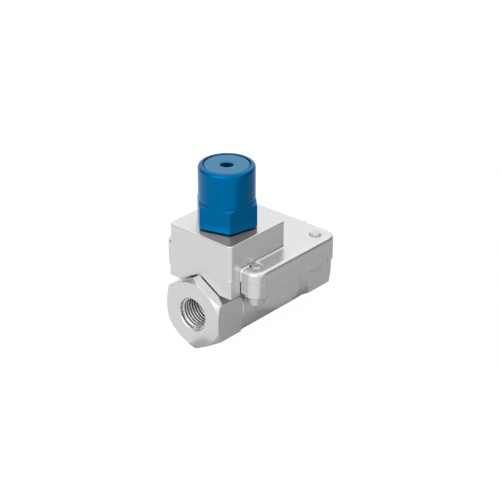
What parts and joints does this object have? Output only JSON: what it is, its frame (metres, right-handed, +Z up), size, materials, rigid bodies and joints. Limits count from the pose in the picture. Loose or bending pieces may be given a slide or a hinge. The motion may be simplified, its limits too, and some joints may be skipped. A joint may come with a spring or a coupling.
{
  "type": "air-piloted diaphragm valve",
  "caption": "Two-way air-piloted diaphragm valve in nickel-plated brass, with threaded hexagon ports in line and a blue anodised pilot actuator.",
  "frame": {"origin": "on the port axis, where the front port's thread starts, 0.4 mm behind the front face", "axes": "+X along the port axis from the front port to the rear port, +Y to the left seen from the front, +Z up, from the ports to the actuator"},
  "size_m": [0.068, 0.0494, 0.0724],
  "materials": {
    "nickel_body": "nickel plated forging, satin",
    "nickel_cover": "nickel plated casting, satin",
    "screw_steel": "plain steel",
    "washer_steel": "plain spring steel",
    "inner_steel": "turned steel",
    "spring_steel": "drawn wire",
    "turned_brass": "turned brass",
    "seal_rubber": "matt black nitrile",
    "diaphragm_rubber": "fabric reinforced nitrile",
    "poppet_rubber": "moulded nitrile",
    "blue_anodised": "blue anodised, smooth",
    "blue_cap": "blue anodised, turned face",
    "piston_alloy": "turned aluminium"
  },
  "bodies": {
    "valve": {"valve_body": "nickel_body", "pilot_cover": "nickel_cover", "cover_screws": "screw_steel", "lock_washers": "washer_steel", "channel_seal": "seal_rubber", "main_diaphragm": "diaphragm_rubber", "diaphragm_spring": "spring_steel", "pilot_seat": "turned_brass", "pilot_seat_seal": "seal_rubber", "poppet_spring": "spring_steel", "guide_bush": "turned_brass", "plunger_seal": "seal_rubber", "actuator_housing": "blue_anodised", "neck_seal": "seal_rubber", "piston_spring": "spring_steel", "end_cap": "blue_cap", "end_cap_seal": "seal_rubber", "retaining_ring": "spring_steel"},
    "main_valve": {"support_disc": "inner_steel", "clamp_screw": "inner_steel", "clamp_plate": "inner_steel"},
    "pilot_stem": {"pilot_piston": "piston_alloy", "piston_seal": "seal_rubber", "plunger": "inner_steel", "poppet": "turned_brass", "poppet_seal": "poppet_rubber"}
  },
  "joints": [
    {"name": "main_valve_lift", "type": "slide", "parent": "valve", "child": "main_valve", "axis": [0, 0, 1], "range_m": [0, 0.003], "stiffness_N_per_m": 400, "springref_m": -0.006, "deforming": ["main_diaphragm", "diaphragm_spring"]},
    {"name": "pilot_stem_slide", "type": "slide", "parent": "valve", "child": "pilot_stem", "axis": [0, 0, -1], "range_m": [0, 0.001], "stiffness_N_per_m": 1200, "springref_m": -0.005, "deforming": ["piston_spring", "poppet_spring"]}
  ]
}
